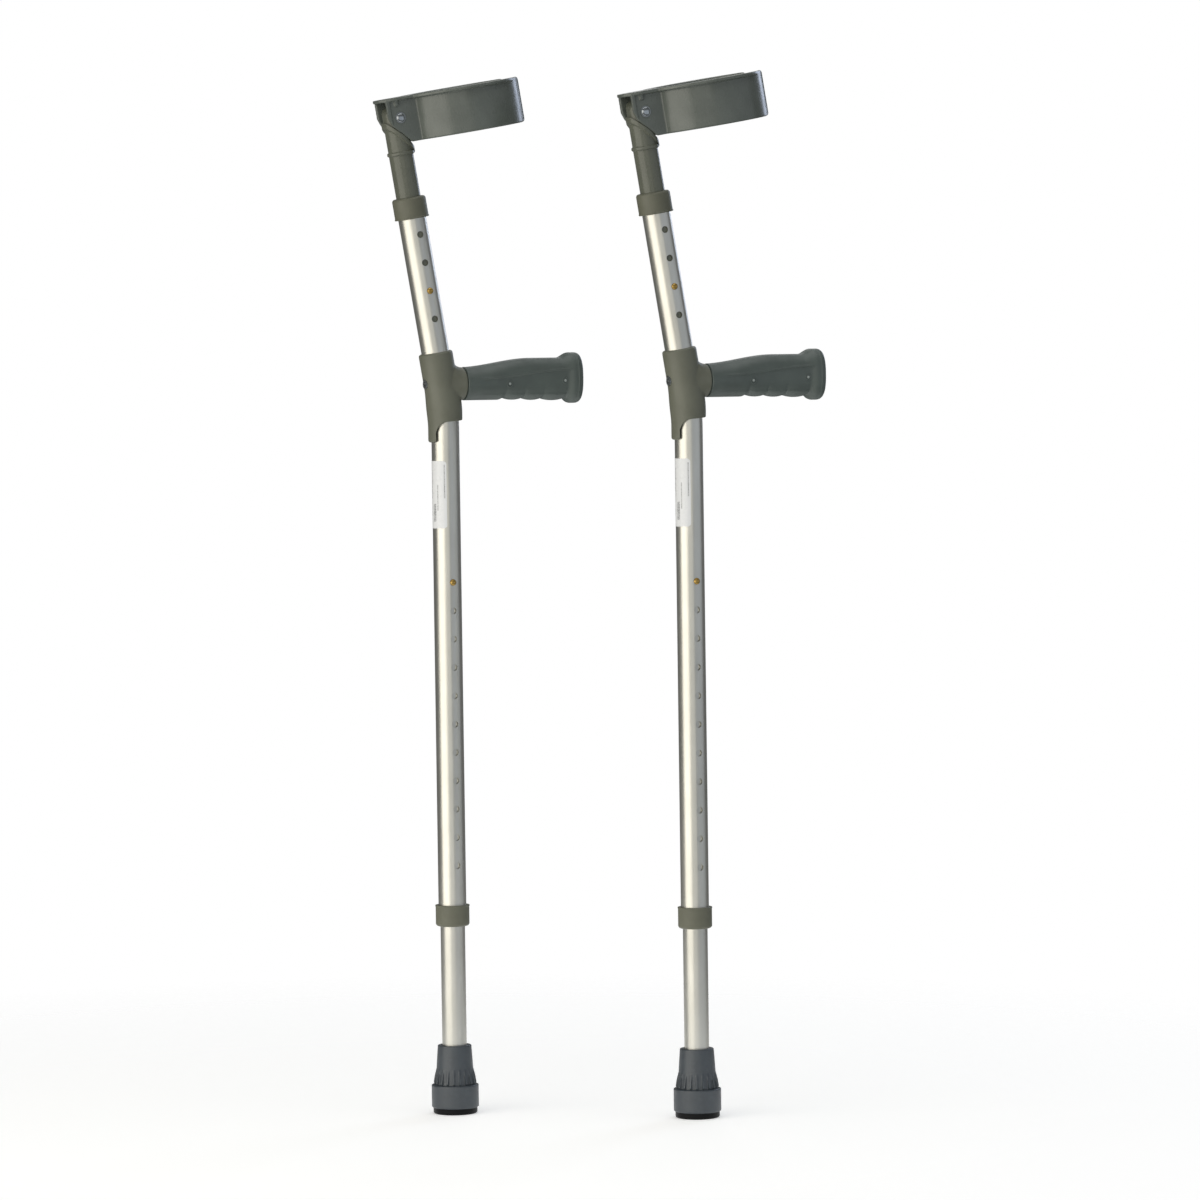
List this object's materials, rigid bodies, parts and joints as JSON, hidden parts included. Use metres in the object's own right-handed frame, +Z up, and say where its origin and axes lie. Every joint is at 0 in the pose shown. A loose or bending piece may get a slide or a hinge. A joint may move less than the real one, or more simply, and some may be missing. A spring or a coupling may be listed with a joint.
{
  "type": "forearm crutches",
  "caption": "Pair of height-adjustable aluminium forearm crutches with open cuffs, contoured hand grips and rubber ferrules.",
  "frame": {"origin": "centre of the left crutch's sole, on the floor", "axes": "+Z up the leg, +X forward along the handle, buttons face -Y"},
  "size_m": [0.3711, 0.2366, 0.9301],
  "materials": {
    "ferrule_rubber": "moulded, slightly dusty",
    "zinc_steel": "zinc plated",
    "leg_aluminium": "satin anodised",
    "main_aluminium": "satin anodised",
    "button_brass": "turned",
    "spring_steel": "hardened strip",
    "collar_plastic": "moulded",
    "label_paper": "printed sticker",
    "bracket_plastic": "moulded, fine grain",
    "grip_pvc": "soft moulded, semi-gloss",
    "stem_plastic": "moulded",
    "cuff_plastic": "moulded, semi-gloss",
    "rivet_steel": "zinc plated, bright"
  },
  "bodies": {
    "legs": {"left_ferrule": "ferrule_rubber", "left_ferrule_washer": "zinc_steel", "left_leg_tube": "leg_aluminium", "left_leg_spring_clip": "spring_steel", "right_ferrule": "ferrule_rubber", "right_ferrule_washer": "zinc_steel", "right_leg_tube": "leg_aluminium", "right_leg_spring_clip": "spring_steel"},
    "left_main": {"left_main_tube": "main_aluminium", "left_lower_collar": "collar_plastic", "left_upper_collar": "collar_plastic", "left_label": "label_paper", "left_handle_bracket": "bracket_plastic", "left_handle_screw": "zinc_steel", "left_handle_nut": "zinc_steel", "left_grip": "grip_pvc"},
    "left_stem": {"left_cuff_stem": "stem_plastic", "left_cuff_spring_clip": "spring_steel"},
    "left_cuff_top": {"left_cuff": "cuff_plastic", "left_cuff_rivet": "rivet_steel", "left_rivet_washers": "zinc_steel"},
    "left_leg_catch": {"left_leg_button": "button_brass"},
    "left_cuff_catch": {"left_cuff_button": "button_brass"},
    "right_main": {"right_main_tube": "main_aluminium", "right_lower_collar": "collar_plastic", "right_upper_collar": "collar_plastic", "right_label": "label_paper", "right_handle_bracket": "bracket_plastic", "right_handle_screw": "zinc_steel", "right_handle_nut": "zinc_steel", "right_grip": "grip_pvc"},
    "right_stem": {"right_cuff_stem": "stem_plastic", "right_cuff_spring_clip": "spring_steel"},
    "right_cuff_top": {"right_cuff": "cuff_plastic", "right_cuff_rivet": "rivet_steel", "right_rivet_washers": "zinc_steel"},
    "right_leg_catch": {"right_leg_button": "button_brass"},
    "right_cuff_catch": {"right_cuff_button": "button_brass"}
  },
  "joints": [
    {"name": "left_leg_length", "type": "slide", "parent": "legs", "child": "left_main", "axis": [0, 0, 1], "range_m": [0, 0.254], "deforming": ["left_leg_button", "left_leg_spring_clip"]},
    {"name": "left_leg_button_press", "type": "slide", "parent": "legs", "child": "left_leg_catch", "axis": [0, 1, 0], "range_m": [0, 0.0035], "stiffness_N_per_m": 900, "deforming": ["left_leg_spring_clip"]},
    {"name": "left_cuff_height", "type": "slide", "parent": "left_main", "child": "left_stem", "axis": [-0.1693, 0, 0.9856], "range_m": [-0.0254, 0.0508], "deforming": ["left_cuff_button", "left_cuff_spring_clip"]},
    {"name": "left_cuff_button_press", "type": "slide", "parent": "left_stem", "child": "left_cuff_catch", "axis": [0, 1, 0], "range_m": [0, 0.0035], "stiffness_N_per_m": 900, "deforming": ["left_cuff_spring_clip"]},
    {"name": "left_cuff_tilt", "type": "hinge", "parent": "left_stem", "child": "left_cuff_top", "pos_m": [-0.04432, 0, 0.89192], "axis": [0, -1, 0], "range_deg": [0, 25]},
    {"name": "right_leg_length", "type": "slide", "parent": "legs", "child": "right_main", "axis": [0, 0, 1], "range_m": [0, 0.254], "deforming": ["right_leg_button", "right_leg_spring_clip"]},
    {"name": "right_leg_button_press", "type": "slide", "parent": "legs", "child": "right_leg_catch", "axis": [0, 1, 0], "range_m": [0, 0.0035], "stiffness_N_per_m": 900, "deforming": ["right_leg_spring_clip"]},
    {"name": "right_cuff_height", "type": "slide", "parent": "right_main", "child": "right_stem", "axis": [-0.1693, 0, 0.9856], "range_m": [-0.0254, 0.0508], "deforming": ["right_cuff_button", "right_cuff_spring_clip"]},
    {"name": "right_cuff_button_press", "type": "slide", "parent": "right_stem", "child": "right_cuff_catch", "axis": [0, 1, 0], "range_m": [0, 0.0035], "stiffness_N_per_m": 900, "deforming": ["right_cuff_spring_clip"]},
    {"name": "right_cuff_tilt", "type": "hinge", "parent": "right_stem", "child": "right_cuff_top", "pos_m": [0.13168, -0.136, 0.89192], "axis": [0, -1, 0], "range_deg": [0, 25]}
  ]
}
